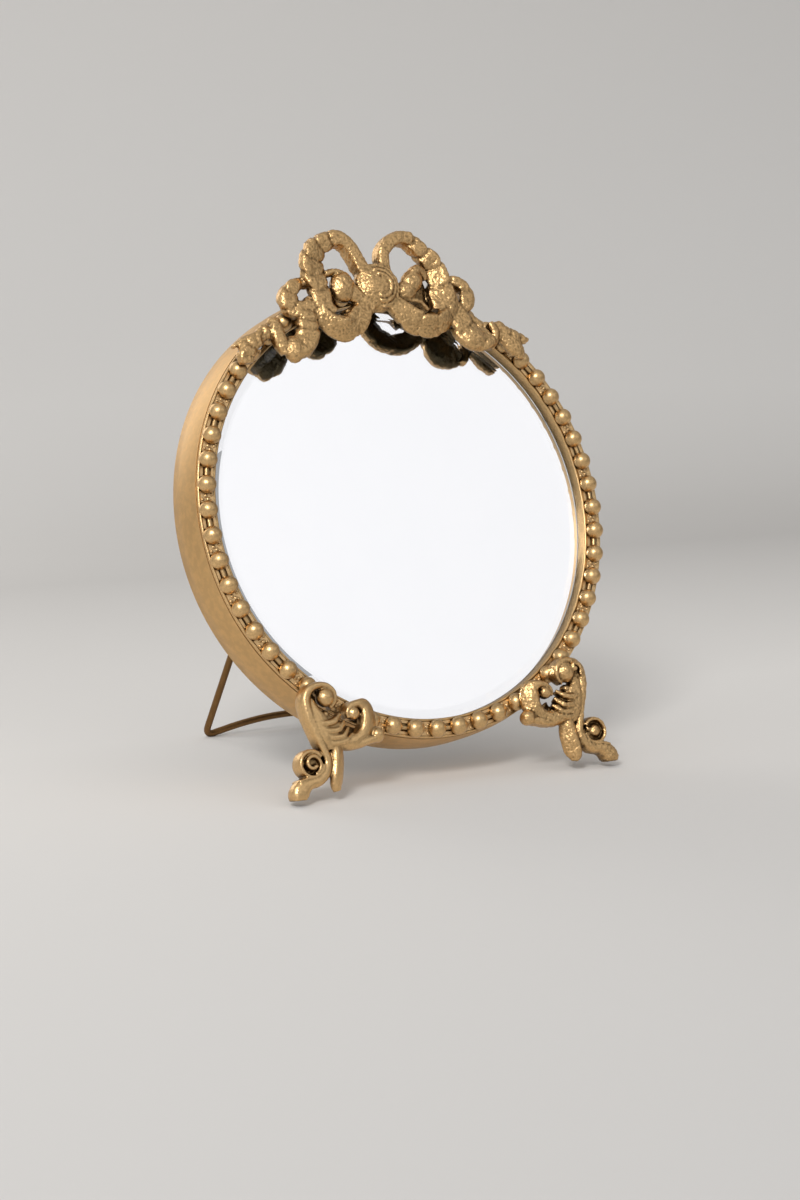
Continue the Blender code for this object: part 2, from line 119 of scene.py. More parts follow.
def smooth(mesh, angle):
    mesh.shade_smooth()
    mesh.set_sharp_from_angle(angle=radians(angle))
    return mesh


# ---------------------------------------------------------------- mesh helpers


class Shape:
    """Gathers closed bodies as vertices and faces."""

    def __init__(self):
        self.verts = []
        self.faces = []

    def add(self, verts, faces):
        base = len(self.verts)
        self.verts.extend(tuple(float(c) for c in vert) for vert in verts)
        self.faces.extend(tuple(base + i for i in face) for face in faces)

    def mesh(self, name):
        made = bpy.data.meshes.new(name)
        made.from_pydata(self.verts, [], self.faces)
        made.update()
        form = bmesh.new()
        form.from_mesh(made)
        bmesh.ops.recalc_face_normals(form, faces=form.faces)
        form.to_mesh(made)
        form.free()
        return made


def lathe(shape, profile, steps, wobble=None):
    """Turns a closed (radius, depth) profile about the mirror's axis.

    wobble(t, depth) is what the radius grows by at angle t.
    """
    count = len(profile)
    verts, faces = [], []
    for i in range(steps):
        t = 2 * pi * i / steps
        for r, d in profile:
            extra = wobble(t, d) if wobble else 0
            verts.append(((r + extra) * cos(t), d, (r + extra) * sin(t)))
    for i in range(steps):
        a, b = i * count, (i + 1) % steps * count
        for j in range(count):
            k = (j + 1) % count
            faces.append((a + j, a + k, b + k, b + j))
    shape.add(verts, faces)


def arc(centre, radius, start, end, steps):
    """Points of an arc about (r, d), angles in degrees."""
    out = []
    for i in range(steps + 1):
        t = radians(start + (end - start) * i / steps)
        out.append((centre[0] + radius * cos(t), centre[1] + radius * sin(t)))
    return out


def spline(points, per):
    """Catmull-Rom through rows of numbers, per rows for each span."""
    p = np.array(points, float)
    n = len(p)
    out = []
    for i in range(n - 1):
        a, b, c, d = p[max(i - 1, 0)], p[i], p[i + 1], p[min(i + 2, n - 1)]
        square = 2 * a - 5 * b + 4 * c - d
        cube = 3 * b - a - 3 * c + d
        for j in range(per):
            t = j / per
            out.append(0.5 * (2 * b + (c - a) * t + square * t ** 2 + cube * t ** 3))
    out.append(p[-1])
    return np.array(out)


def sweep(shape, stations, per=8, sides=18, square=0.75, flute=None):
    """A ribbon or rod along stations of (x, v, d, across, deep, roll), with per rows between two of them.

    across and deep are half sizes in the mirror's plane and along its axis, and roll turns the section,
    in degrees. A section is an ellipse at square 1 and nearer to a box below that. flute(t, angle) is what
    its size grows by at t along the length, from 0 to 1.
    """
    rows = spline(stations, per)
    n = len(rows)
    line = np.stack([rows[:, 0], rows[:, 2], rows[:, 1]], 1)
    tangent = np.gradient(line, axis=0)
    tangent /= np.linalg.norm(tangent, axis=1)[:, None] + 1e-9
    angles = 2 * pi * np.arange(sides) / sides
    c, s = np.cos(angles), np.sin(angles)
    u = np.sign(c) * np.abs(c) ** square
    w = np.sign(s) * np.abs(s) ** square
    verts = []
    for i in range(n):
        across, deep, roll = rows[i, 3], rows[i, 4], radians(rows[i, 5])
        t = tangent[i]
        side = np.array([-t[2], 0, t[0]])
        side /= np.linalg.norm(side) + 1e-9
        axis = np.cross(t, side)
        axis /= np.linalg.norm(axis) + 1e-9
        if axis[1] < 0:
            axis = -axis
        a = side * cos(roll) + axis * sin(roll)
        b = axis * cos(roll) - side * sin(roll)
        for j in range(sides):
            k = 1 + (flute(i / (n - 1), angles[j]) if flute else 0)
            verts.append(line[i] + a * across * u[j] * k + b * deep * w[j] * k)
    shape.add(verts, tube_faces(n, sides))


def tube_faces(rows, sides):
    """The faces of a capped tube whose vertices come in rows of sides."""
    faces = []
    for i in range(rows - 1):
        a, b = i * sides, (i + 1) * sides
        for j in range(sides):
            k = (j + 1) % sides
            faces.append((a + j, a + k, b + k, b + j))
    faces.append(tuple(range(sides))[::-1])
    faces.append(tuple((rows - 1) * sides + j for j in range(sides)))
    return faces


def ball(shape, x, v, d, rx, rv=None, rd=None, turn=0, rings=12, sides=20):
    """An egg with half sizes rx, rv and rd, turned in the mirror's plane by turn degrees."""
    rv = rx if rv is None else rv
    rd = rx if rd is None else rd
    verts = [(0, -1, 0)]
    for i in range(1, rings):
        t = pi * i / rings
        for j in range(sides):
            a = 2 * pi * j / sides
            verts.append((sin(t) * cos(a), -cos(t), sin(t) * sin(a)))
    verts.append((0, 1, 0))
    faces = []
    for j in range(sides):
        k = (j + 1) % sides
        faces.append((0, 1 + k, 1 + j))
        last = 1 + (rings - 2) * sides
        faces.append((last + j, last + k, len(verts) - 1))
        for i in range(rings - 2):
            a, b = 1 + i * sides, 1 + (i + 1) * sides
            faces.append((a + j, a + k, b + k, b + j))
    c, s = cos(radians(turn)), sin(radians(turn))
    out = []
    for px, pd, pv in verts:
        px, pd, pv = px * rx, pd * rd, pv * rv
        out.append((x + px * c - pv * s, d + pd, v + px * s + pv * c))
    shape.add(out, faces)


def remeshed(shape, name, voxel, soften):
    """The union of overlapping bodies as one skin, smoothed soften times."""
    mesh = shape.mesh(name + "_raw")
    obj = bpy.data.objects.new(name + "_raw", mesh)
    bpy.context.scene.collection.objects.link(obj)
    step = obj.modifiers.new("Union", "REMESH")
    step.mode = "VOXEL"
    step.voxel_size = voxel
    step.use_smooth_shade = True
    step = obj.modifiers.new("Soften", "SMOOTH")
    step.iterations = soften
    step.factor = 0.5
    bpy.context.view_layer.update()
    graph = bpy.context.evaluated_depsgraph_get()
    made = bpy.data.meshes.new_from_object(obj.evaluated_get(graph))
    made.name = name
    bpy.data.objects.remove(obj)
    bpy.data.meshes.remove(mesh)
    return made


def vertex_rows(mesh, what):
    """The vertices' "co" or "normal" as rows of three."""
    values = np.zeros(len(mesh.vertices) * 3)
    mesh.vertices.foreach_get(what, values)
    return values.reshape(-1, 3)


def roughen(mesh, layers):
    """Pushes vertices along their normals by noise, in layers of (size, depth) in millimetres."""
    places = vertex_rows(mesh, "co")
    normals = vertex_rows(mesh, "normal")
    push = np.zeros(len(places))
    for size, depth in layers:
        for i in range(len(places)):
            push[i] += depth * noise.noise(Vector(places[i] / size))
    places += normals * push[:, None]
    mesh.vertices.foreach_set("co", places.ravel())
    mesh.update()


# ---------------------------------------------------------------- materials


class Nodes:
    """A material's node tree, with its textures laid out in object coordinates."""

    def __init__(self, name):
        self.material = bpy.data.materials.new(name)
        self.material.use_nodes = True
        self.tree = self.material.node_tree
        self.shader = self.tree.nodes["Principled BSDF"]
        self.coords = self.tree.nodes.new("ShaderNodeTexCoord")

    def node(self, kind, inputs=None, **settings):
        made = self.tree.nodes.new("ShaderNode" + kind)
        for key, value in settings.items():
            setattr(made, key, value)
        for key, value in (inputs or {}).items():
            if isinstance(value, bpy.types.NodeSocket):
                self.tree.links.new(value, made.inputs[key])
            else:
                made.inputs[key].default_value = value
        return made

    def noise(self, scale, detail, roughness=0.55):
        inputs = {"Scale": scale, "Detail": detail, "Roughness": roughness}
        inputs["Vector"] = self.coords.outputs["Object"]
        return self.node("TexNoise", inputs).outputs["Fac"]

    def ramp(self, value, stops):
        made = self.node("ValToRGB", {"Fac": value})
        ramp = made.color_ramp
        while len(ramp.elements) < len(stops):
            ramp.elements.new(0.5)
        for element, (at, colour) in zip(ramp.elements, stops):
            element.position = at
            element.color = (*colour, 1)
        return made.outputs["Color"]

    def mix(self, amount, under, over):
        """Covers the colour socket under with the plain colour over, by the socket amount."""
        made = self.node("Mix", {0: amount, 6: under, 7: (*over, 1)}, data_type="RGBA")
        return made.outputs[2]

    def math(self, operation, a, b, clamp=False):
        return self.node("Math", {0: a, 1: b}, operation=operation, use_clamp=clamp).outputs[0]

    def set(self, **sockets):
        for key, value in sockets.items():
            target = self.shader.inputs[key.replace("_", " ")]
            if isinstance(value, bpy.types.NodeSocket):
                self.tree.links.new(value, target)
            else:
                target.default_value = value

    def bump(self, height, depth):
        """A bump of depth millimetres from the socket height."""
        inputs = {"Height": height, "Strength": 1.0, "Distance": depth * MM}
        return self.node("Bump", inputs).outputs["Normal"]


BLACK = (0, 0, 0)
WHITE = (1, 1, 1)
# the colour of the painted shade on faces that look into the drum
BACK_SHADE = (0.12, 0.098, 0.058)


def gold(name, bright, dark, rough, grain, depth, reach, worn, speckle=0.2, pits=0.0, crease_shade=0.0,
         back_shade=False):
    """Antique gold: a warm metal film with painted shade darkening its hollows and creases, and rubbed high
    spots.

    grain is the scale of its fine noise and depth that noise's bump in millimetres. Painted shade darkens
    hollows towards dark up to reach millimetres wide. worn, speckle, pits and the painted crease shade are
    amounts from 0 to 1, and the back-shade flag paints shade on the faces that look into the drum.
    """
    k = Nodes(name)
    hollow = k.node("AmbientOcclusion", {"Distance": reach * MM}, samples=8).outputs["AO"]
    sharp = k.node("NewGeometry").outputs["Pointiness"]
    cloud = k.noise(90, 4)
    fine = k.noise(grain, 3, 0.6)
    # painted shade: ambient occlusion, stirred by a faint cloud, darkens the hollows towards dark
    recess = k.math("ADD", hollow, k.math("MULTIPLY", k.math("SUBTRACT", cloud, 0.5), 0.5), clamp=True)
    painted_hollow_shade = k.ramp(recess, [(0.40, dark), (0.92, bright)])
    edge = k.ramp(sharp, [(0.5, BLACK), (0.6, WHITE)])
    rubbed = tuple(min(1, c * 1.25 + 0.05) for c in bright)
    colour = k.mix(k.math("MULTIPLY", edge, worn), painted_hollow_shade, rubbed)
    speck = k.ramp(fine, [(0.42, WHITE), (0.62, BLACK)])
    colour = k.mix(k.math("MULTIPLY", speck, speckle), colour, tuple(c * 0.42 for c in bright))
    if crease_shade:
        # painted shade in creases: concave places darken towards dark
        crease_shade_mask = k.ramp(sharp, [(0.445, WHITE), (0.5, BLACK)])
        colour = k.mix(k.math("MULTIPLY", crease_shade_mask, crease_shade), colour, dark)
    if back_shade:
        # painted shade on the faces that look into the drum, read from the mesh attribute
        back_shade_mask = k.node("Attribute", attribute_name="back_shade").outputs["Fac"]
        colour = k.mix(back_shade_mask, colour, BACK_SHADE)
    k.set(Base_Color=colour, Metallic=1.0)
    k.set(Roughness=k.math("ADD", k.math("MULTIPLY", fine, 0.18), rough - 0.09, clamp=True))
    height = fine
    if pits:
        inputs = {"Scale": 900, "Vector": k.coords.outputs["Object"]}
        cells = k.node("TexVoronoi", inputs, feature="SMOOTH_F1").outputs["Distance"]
        height = k.math("ADD", fine, k.math("MULTIPLY", cells, pits))
    k.set(Normal=k.bump(height, depth))
    return k.material


def plain(name, colour, rough, metallic, grain, depth, spread=0.25):
    """One colour that wanders by spread, with a fine grain of depth millimetres."""
    k = Nodes(name)
    fine = k.noise(grain, 4, 0.6)
    cloud = k.noise(30, 3)
    low = tuple(c * (1 - spread) for c in colour)
    high = tuple(min(1, c * (1 + spread)) for c in colour)
    both = k.math("ADD", k.math("MULTIPLY", fine, 0.5), k.math("MULTIPLY", cloud, 0.5))
    k.set(Base_Color=k.ramp(both, [(0.3, low), (0.7, high)]), Metallic=metallic)
    k.set(Roughness=k.math("ADD", k.math("MULTIPLY", fine, 0.2), rough - 0.1, clamp=True))
    k.set(Normal=k.bump(fine, depth))
    return k.material


# each gold's second colour is the painted shade in its hollows and, where set, its creases
GOLD_CAST = gold(
    "gold_cast", (0.76, 0.48, 0.212), (0.050, 0.028, 0.010), rough=0.31, grain=1000, depth=0.24,
    reach=9.0, worn=0.7, speckle=0.34, pits=0.4, crease_shade=0.9, back_shade=True,
)
GOLD_WORN = gold(
    "gold_worn", (0.74, 0.48, 0.22), (0.060, 0.034, 0.012), rough=0.34, grain=900, depth=0.10,
    reach=6.0, worn=0.6, pits=0.2, crease_shade=0.6, back_shade=True,
)
GOLD_BEAD = gold(
    "gold_bead", (0.75, 0.49, 0.225), (0.060, 0.034, 0.012), rough=0.35, grain=1100, depth=0.09,
    reach=3.0, worn=0.5, speckle=0.3,
)
GOLD_SHEET = gold(
    "gold_sheet", (0.68, 0.43, 0.185), (0.30, 0.18, 0.07), rough=0.48, grain=260, depth=0.012,
    reach=4.0, worn=0.3,
)
# painted shade: the wire's gold is far darker than the other golds, a shaded copy of the same finish
GOLD_WIRE = gold(
    "gold_wire", (0.235, 0.125, 0.045), (0.10, 0.05, 0.014), rough=0.40, grain=500, depth=0.02,
    reach=2.0, worn=0.3,
)
STEEL = plain("zinc_steel_finish", (0.55, 0.54, 0.50), 0.38, 1.0, 600, 0.02)
FELT = plain("felt_finish", (0.06, 0.05, 0.045), 0.95, 0, 2500, 0.3)
BOARD = plain("hardboard_finish", (0.22, 0.13, 0.07), 0.8, 0, 900, 0.08)
COVER = plain("flocked_cover", (0.035, 0.027, 0.022), 0.95, 0, 2200, 0.25, 0.4)


def glass_material():
    k = Nodes("clear_glass")
    k.set(Base_Color=(0.985, 0.982, 0.98, 1), Roughness=0.0, IOR=1.5, Transmission_Weight=1.0)
    return k.material


def silver_material():
    k = Nodes("silvering")
    faint = k.noise(25, 2)
    k.set(Base_Color=k.ramp(faint, [(0.0, (0.93, 0.94, 0.95)), (1.0, (0.96, 0.965, 0.97))]))
    k.set(Metallic=1.0, Roughness=0.0)
    return k.material


# ---------------------------------------------------------------- frame and glass


def make_bezel():
    """The cast front ring: two lips, the band of beads and links, and the wall down to the glass."""
    ring = Shape()
    profile = []
    profile += arc((112.2, 1.5), 0.7, 20, -140, 6)
    profile += [(111.2, BAND_FLOOR), (106.2, BAND_FLOOR), (105.6, BAND_FLOOR + 0.1)]
    profile += arc((104.2, 1.75), 0.8, -60, -180, 6)
    profile += [(BEZEL_OPENING, 8.4), (104.9, 8.4), (105.0, 5.85)]
    profile += [(111.4, 5.85), (111.5, 2.6), (112.8, 2.5)]
    lathe(ring, profile, 448)
    for i in range(BEAD_COUNT):
        angle = BEAD_START + i * 2 * pi / BEAD_COUNT
        x, v = BEAD_CIRCLE * cos(angle), BEAD_CIRCLE * sin(angle)
        ball(ring, x, v, -0.2, BEAD_RADIUS, turn=degrees(angle), rings=18, sides=32)
        link(ring, angle + pi / BEAD_COUNT, i % 2)
    mesh = smooth(placed(ring.mesh("bezel")), 50)
    new_object("bezel", mesh, GOLD_BEAD, replaces=("bead_bezel",))


def link(shape, angle, barred):
    """What fills the band between two beads: a bar with a flat on each side, or a rough block."""
    c, s = cos(angle), sin(angle)
    foot, half = BAND_FLOOR + 0.6, 3.2

    def block(r0, r1, top, lift=0.0):
        rows = ((r0, foot, half), (r0 + 0.25, top, half * 0.8), (r1 - 0.25, top + lift, half * 0.8),
                (r1, foot, half))
        verts = []
        for r, d, a in rows:
            verts += [(r * c + a * s, d, r * s - a * c), (r * c - a * s, d, r * s + a * c)]
        faces = [(0, 1, 3, 2), (2, 3, 5, 4), (4, 5, 7, 6), (6, 7, 1, 0), (0, 2, 4, 6), (1, 7, 5, 3)]
        shape.add(verts, faces)

    if barred:
        path = []
        for step in (-1, -0.4, 0.4, 1):
            t = angle + step * 0.035
            path.append((BEAD_CIRCLE * cos(t), BEAD_CIRCLE * sin(t), BAND_FLOOR - 0.2, 1.15, 1.4, 0))
        sweep(shape, path, 4, 12, 0.9)
        block(104.7, 106.5, BAND_FLOOR - 0.5)
        block(110.1, 111.9, BAND_FLOOR - 0.5)
    else:
        block(104.8, 111.9, BAND_FLOOR - 0.8, 0.1)
        lumps = (
            (106.0, -1.3, 0.9), (107.6, 0.9, 1.1), (109.0, -0.7, 1.0), (110.6, 1.1, 0.8), (106.4, 1.6, 0.7),
        )
        for r, a, size in lumps:
            ball(shape, r * c - a * s, r * s + a * c, BAND_FLOOR - 0.8, size, size, 0.45, 0, 6, 10)


def make_casing():
    """The deep pressed drum: it flares a little towards its rounded rear corner."""
    shape = Shape()
    outer, wall, back = CASING_RADIUS, CASING_WALL, CASING_BACK
    middle = (outer - CASING_CORNER, back - CASING_CORNER)
    profile = [(outer - 1.2, 2.7), (outer - 0.7, 5), (outer, 9), (outer + 0.4, 16), (outer + 0.5, 24)]
    profile += arc(middle, CASING_CORNER, 0, 90, 10)[1:]
    profile += [(106, back), (100, back), (FLANGE_OPENING, back)]
    profile += [(FLANGE_OPENING, back - wall), (106, back - wall)]
    profile += arc(middle, CASING_CORNER - wall, 90, 0, 6)
    profile += [(outer - wall, 12), (outer - 2.4, 6), (outer - 2.4, 2.7)]

    def wobble(t, d):
        return 0.05 * sin(3 * t + 0.6) + 0.03 * sin(7 * t + d * 0.1)

    lathe(shape, profile, 288, wobble)
    mesh = smooth(placed(shape.mesh("casing")), 50)
    new_object("casing", mesh, GOLD_SHEET, replaces=("shell_drum",))


def make_glass():
    """A clear bevelled sheet and, a hair behind it, the silvering that mirrors."""
    clear, silver = Shape(), Shape()
    profile = [(NEAR_AXIS, GLASS_FRONT), (50, GLASS_FRONT), (BEVEL_START, GLASS_FRONT)]
    profile += [(GLASS_EDGE, GLASS_FRONT + BEVEL_DEEP), (GLASS_EDGE, GLASS_BACK)]
    profile += [(50, GLASS_BACK), (NEAR_AXIS, GLASS_BACK)]
    lathe(clear, profile, 256)
    mesh = smooth(placed(clear.mesh("glass_sheet")), 5)
    new_object("glass_sheet", mesh, glass_material(), replaces=("mirror_glass",))
    near = GLASS_BACK + 0.01
    far = near + 0.06
    lathe(silver, [(NEAR_AXIS, near), (GLASS_EDGE, near), (GLASS_EDGE, far), (NEAR_AXIS, far)], 128)
    mesh = smooth(placed(silver.mesh("silver_coat")), 5)
    new_object("silver_coat", mesh, silver_material())


def make_back():
    shape = Shape()
    round_off = 0.6
    profile = [(NEAR_AXIS, COVER_BACK), (60, COVER_BACK), (104.6, COVER_BACK)]
    profile += arc((COVER_RADIUS - round_off, COVER_BACK - round_off), round_off, 90, 0, 5)
    profile += [(COVER_RADIUS, COVER_FRONT), (NEAR_AXIS, COVER_FRONT)]
    lathe(shape, profile, 192)
    mesh = smooth(placed(shape.mesh("back_panel")), 40)
    new_object("back_panel", mesh, COVER, replaces=("back_cover",))


# ---------------------------------------------------------------- bow


def pleats(count, size, since=0.0, until=1.0):
    """Cross folds for sweep: narrow slanting grooves between since and until of a ribbon's length."""

    def pinch(t, angle):
        if not since < t < until:
            return 0
        ridge = abs(sin(pi * count * (t - since) / (until - since) + sin(angle)))
        return -size * (1 - ridge) ** 2.5

    return pinch


def bow_right(s):
    # top loop: a deep band that rises from the knot, turns over and comes down
    sweep(s, [
        (3.6, 114, -6.6, 3.0, 4.2, 0), (2.7, 120, -6.4, 3.3, 4.4, 0), (3.6, 126.8, -6.2, 3.4, 4.5, 0),
        (7.8, 132.2, -6.2, 3.5, 4.6, 0), (13.6, 134.9, -6.2, 3.5, 4.6, 0), (19.4, 134.2, -6.2, 3.8, 4.5, 0),
        (23.8, 130.4, -6.4, 4.3, 4.4, -4), (27.8, 126.2, -6.8, 4.9, 4.2, -14),
        (31.6, 121.6, -7.0, 5.8, 3.6, -24), (33.2, 115.6, -7.4, 6.0, 3.2, -26),
        (33.4, 109, -7.8, 6.8, 3.0, -22), (33.6, 102.6, -8.2, 7.0, 2.8, -12),
        (32.4, 96.6, -8.4, 5.8, 2.6, 0),
    ], 9, 26, 0.5, flute=pleats(4, 0.27, 0.42, 0.92))
    # low band: the same ribbon returns to the knot along the front
    sweep(s, [
        (39.6, 106, -7.4, 1.8, 3.2, 0), (38.4, 99.2, -8.2, 3.2, 3.0, 24), (33.4, 93.4, -8.6, 4.8, 2.8, 28),
        (27.4, 90.0, -9.0, 5.8, 2.8, 28), (20, 89.6, -9.2, 6.2, 2.8, 26), (14, 92.0, -9.2, 6.5, 2.8, 20),
        (8.8, 96.8, -9.0, 5.6, 2.8, 10), (4, 101.6, -8.6, 4.4, 2.8, 0), (0, 105, -8, 3.6, 2.6, 0),
    ], 9, 26, 0.45, flute=pleats(3, 0.20, 0.15, 0.7))
    # curl beside the knot, with a hooked top
    ball(s, 13.2, 107.6, -8.0, 6.4, 5.4, 4.2, 20)
    ball(s, 17.4, 112.2, -8.2, 6.6, 5.6, 4.4, 40)
    sweep(s, [
        (15.6, 109, -8.2, 2.6, 3.2, 0), (17.6, 114.6, -8.4, 2.8, 3.4, 0), (20.6, 118.0, -8.0, 2.6, 3.4, 0),
        (24.2, 117.4, -7.0, 2.0, 3.0, 0), (26.4, 113.6, -6.0, 1.6, 2.6, 0),
    ], 7)
    sweep(s, [
        (10, 103.4, -7.4, 1.6, 2.8, 0), (15.4, 102.8, -7.2, 1.5, 3.0, 0), (20.6, 101.4, -6.8, 1.4, 3.0, 0),
        (24.4, 97.4, -6.4, 1.3, 3.0, 0),
    ], 6)
    # floor of the fold, so that the inside of the loop reads as a dark pocket
    sweep(s, [
        (22, 118.5, -3.2, 3.6, 1.2, 0), (23, 111, -3.0, 4.6, 1.2, 0), (23.5, 103, -3.0, 5.0, 1.2, 0),
        (24, 96.5, -3.4, 4.4, 1.2, 0),
    ], 5)
    # side loop
    sweep(s, [
        (35, 113.2, -5.0, 2.4, 3.2, 0), (40.4, 113.4, -5.2, 2.7, 3.6, 0), (45.8, 111.6, -5.6, 3.2, 3.8, 0),
        (48.9, 106.8, -6.2, 4.2, 3.6, 0), (47.6, 101.0, -6.8, 4.4, 3.4, 0), (43.4, 98.0, -7.0, 3.8, 3.2, 0),
        (37.6, 98.4, -7.0, 3.6, 3.0, 0),
    ], 9, square=0.55, flute=pleats(3, 0.20, 0.1))
    # tail: falls from the side loop, swells on the beads and ends in a notched leaf
    sweep(s, [
        (37, 99, -6.6, 4.4, 3.2, 0), (41.6, 94, -7.2, 5.8, 3.2, 0), (43.6, 88.0, -7.8, 6.8, 3.2, 0),
        (47.6, 83.4, -8.4, 7.0, 3.2, 8), (53.4, 82.4, -8.2, 6.4, 3.2, 14), (57.6, 84.4, -7.6, 5.6, 3.0, 14),
    ], 9, 26, 0.6, flute=pleats(3, 0.20))
    ball(s, 47.6, 82.6, -8.6, 8.2, 6.4, 4.2, -18, 16, 26)
    sweep(s, [
        (46.8, 95.2, -6.2, 2.2, 3.0, 0), (51.0, 92.4, -6.0, 2.3, 3.0, 0), (54.0, 88.8, -6.4, 3.2, 3.0, 0),
    ], 6)
    sweep(s, [
        (60.2, 90.6, -5.6, 2.0, 3.4, 0), (61.2, 86.4, -6.6, 2.4, 3.8, 0), (60.6, 81.8, -6.6, 2.2, 3.6, 0),
        (58.4, 77.8, -5.8, 1.6, 3.0, 0),
    ], 7)
    ball(s, 65.6, 88.2, -6.4, 4.0, 3.9, 3.4, -20)
    sweep(s, [
        (63.5, 86.5, -6.4, 4.4, 3.2, 0), (69, 84.6, -6.8, 4.6, 3.2, 0), (74.6, 82.8, -6.8, 3.6, 3.0, 0),
        (79.0, 82.0, -6.6, 2.4, 2.4, 0), (81.4, 82.2, -6.4, 1.2, 1.8, 0),
    ], 8, flute=pleats(4, 0.24))
    sweep(s, [
        (67, 84, -6.8, 4.0, 3.0, 0), (71.6, 79.6, -7.0, 4.8, 3.0, 0), (74.6, 75.0, -6.8, 3.6, 2.8, 0),
        (74.6, 72.2, -6.4, 2.0, 2.2, 0),
    ], 8)


def bow_left(s):
    # top loop, broad where it comes down in cross folds
    sweep(s, [
        (-6.6, 113, -6.8, 3.2, 4.2, 0), (-9.8, 119, -6.4, 3.5, 4.4, 0), (-12.2, 124.8, -6.2, 3.6, 4.5, 0),
        (-15.6, 131.2, -6.2, 3.5, 4.6, 0), (-20.8, 134.4, -6.2, 3.8, 4.6, 0),
        (-26.6, 133.4, -6.6, 4.6, 4.2, 8), (-32.2, 130.2, -7.2, 5.6, 3.6, 14),
        (-36.4, 125.2, -7.8, 6.4, 3.2, 16), (-37.8, 118.4, -8.0, 7.2, 3.0, 14),
        (-36.8, 112, -8.2, 6.2, 3.0, 10), (-35.8, 105.6, -8.6, 5.6, 3.0, 0),
        (-34.6, 99.6, -8.8, 4.6, 3.0, 0), (-30.6, 95.6, -8.8, 3.2, 3.0, 0),
    ], 9, 26, 0.5, flute=pleats(5, 0.27, 0.38, 0.88))
    # low band with its rolled upper rim
    sweep(s, [
        (-39, 103, -7.8, 2.4, 3.0, 0), (-37.6, 96.0, -8.4, 3.8, 2.8, -20),
        (-32.6, 91.0, -9.0, 5.2, 2.8, -30), (-26, 88.2, -9.2, 6.2, 2.8, -30),
        (-20.0, 90.6, -9.4, 6.4, 2.8, -16), (-15.6, 94.8, -9.2, 5.8, 2.8, 0),
        (-10.6, 100.4, -8.8, 4.6, 2.8, 0), (-7, 104, -8.4, 4.0, 2.8, 0),
    ], 9, 26, 0.45, flute=pleats(2, 0.20, 0.5))
    sweep(s, [
        (-37.6, 104.6, -9.8, 0.8, 1.4, 0), (-35.8, 97.6, -10.8, 0.9, 1.4, 0),
        (-30.6, 94.0, -11.4, 0.9, 1.4, 0), (-24, 93.4, -11.4, 0.9, 1.4, 0),
        (-18.6, 96.6, -11.2, 0.9, 1.4, 0),
    ], 6, 10)
    # domed curl beside the knot and the dark cup under it
    ball(s, -22.4, 109.4, -8.0, 6.8, 8.0, 4.8, -12, 16, 26)
    sweep(s, [
        (-10, 104, -7.6, 3.0, 3.0, 0), (-15.4, 104.4, -8.2, 4.0, 3.2, 0), (-19.2, 108.4, -8.4, 4.0, 3.2, 0),
    ], 7)
    sweep(s, [
        (-20, 115.2, -7.2, 2.0, 3.2, 0), (-25.4, 117.4, -6.6, 1.9, 3.2, 0),
        (-30.4, 116.6, -6.2, 1.8, 3.0, 0),
    ], 6)
    sweep(s, [
        (-15, 100.6, -7.0, 1.5, 2.8, 0), (-19.4, 98.2, -7.2, 1.5, 3.0, 0), (-23.6, 96.4, -7.4, 1.4, 3.0, 0),
    ], 6)
    sweep(s, [(-29.5, 112, -2.8, 3.0, 1.0, 0), (-29.5, 103, -2.8, 3.6, 1.0, 0)], 5)
    # side loop
    sweep(s, [
        (-38.5, 112.4, -5.4, 2.6, 3.2, 0), (-45.2, 112.0, -5.8, 3.0, 3.6, 0),
        (-50.8, 108.6, -6.4, 4.2, 3.8, 0), (-53.2, 102.8, -7.0, 5.2, 3.6, 0),
        (-49.8, 98.4, -7.4, 4.6, 3.4, 0), (-43, 98.6, -7.6, 4.2, 3.2, 0), (-38, 100.4, -7.6, 3.4, 3.0, 0),
    ], 9, square=0.55, flute=pleats(4, 0.20, 0.1))
    # tail: pleated fall, a hanging swell and lobes out to a forked leaf
    sweep(s, [
        (-40.4, 103, -7.4, 3.8, 3.2, 0), (-44.0, 97, -8.0, 5.0, 3.2, 0), (-45.4, 90.6, -8.6, 5.8, 3.2, 0),
        (-46.4, 84.8, -9.0, 5.8, 3.2, -8), (-50.6, 80.2, -9.0, 6.0, 3.2, -14),
        (-56.0, 79.2, -8.8, 5.6, 3.2, -18),
    ], 9, 26, 0.6, flute=pleats(4, 0.22, 0.0, 0.6))
    ball(s, -54.6, 78.6, -8.8, 5.4, 6.8, 4.2, -12, 16, 26)
    ball(s, -48.4, 80.2, -9.0, 4.6, 5.6, 3.8, 0)
    sweep(s, [
        (-62.6, 91.6, -6.8, 2.6, 3.2, 0), (-62.4, 87.4, -7.8, 3.6, 3.2, 0),
        (-61.0, 82.2, -8.0, 3.8, 3.2, 0), (-58.2, 77.4, -8.0, 3.4, 3.0, 0),
    ], 7)
    ball(s, -62.2, 92.4, -6.4, 3.4, 3.0, 3.4)
    ball(s, -68.0, 87.6, -6.8, 3.2, 4.0, 3.2, 20)
    sweep(s, [
        (-70.8, 88.4, -6.0, 1.6, 3.0, 0), (-73.2, 84.8, -6.8, 1.9, 3.4, 0),
        (-72.6, 80.6, -6.8, 1.7, 3.2, 0),
    ], 6)
    sweep(s, [
        (-70, 85.6, -6.4, 3.0, 2.8, 0), (-76.4, 82.0, -7.0, 4.4, 3.2, 0), (-80.2, 77.0, -7.2, 4.8, 3.2, 0),
        (-80.4, 72.4, -7.0, 3.2, 2.8, 0),
    ], 8, flute=pleats(3, 0.24))
    sweep(s, [
        (-74, 85.4, -6.6, 1.8, 2.8, 0), (-80.0, 84.0, -6.4, 1.6, 2.6, 0), (-86.0, 80.9, -6.2, 0.9, 1.8, 0),
    ], 6)
    sweep(s, [
        (-78.6, 79.6, -8.0, 1.2, 2.6, 0), (-82.4, 77.8, -8.0, 1.4, 2.6, 0),
        (-83.4, 74.0, -7.6, 1.2, 2.2, 0),
    ], 6)


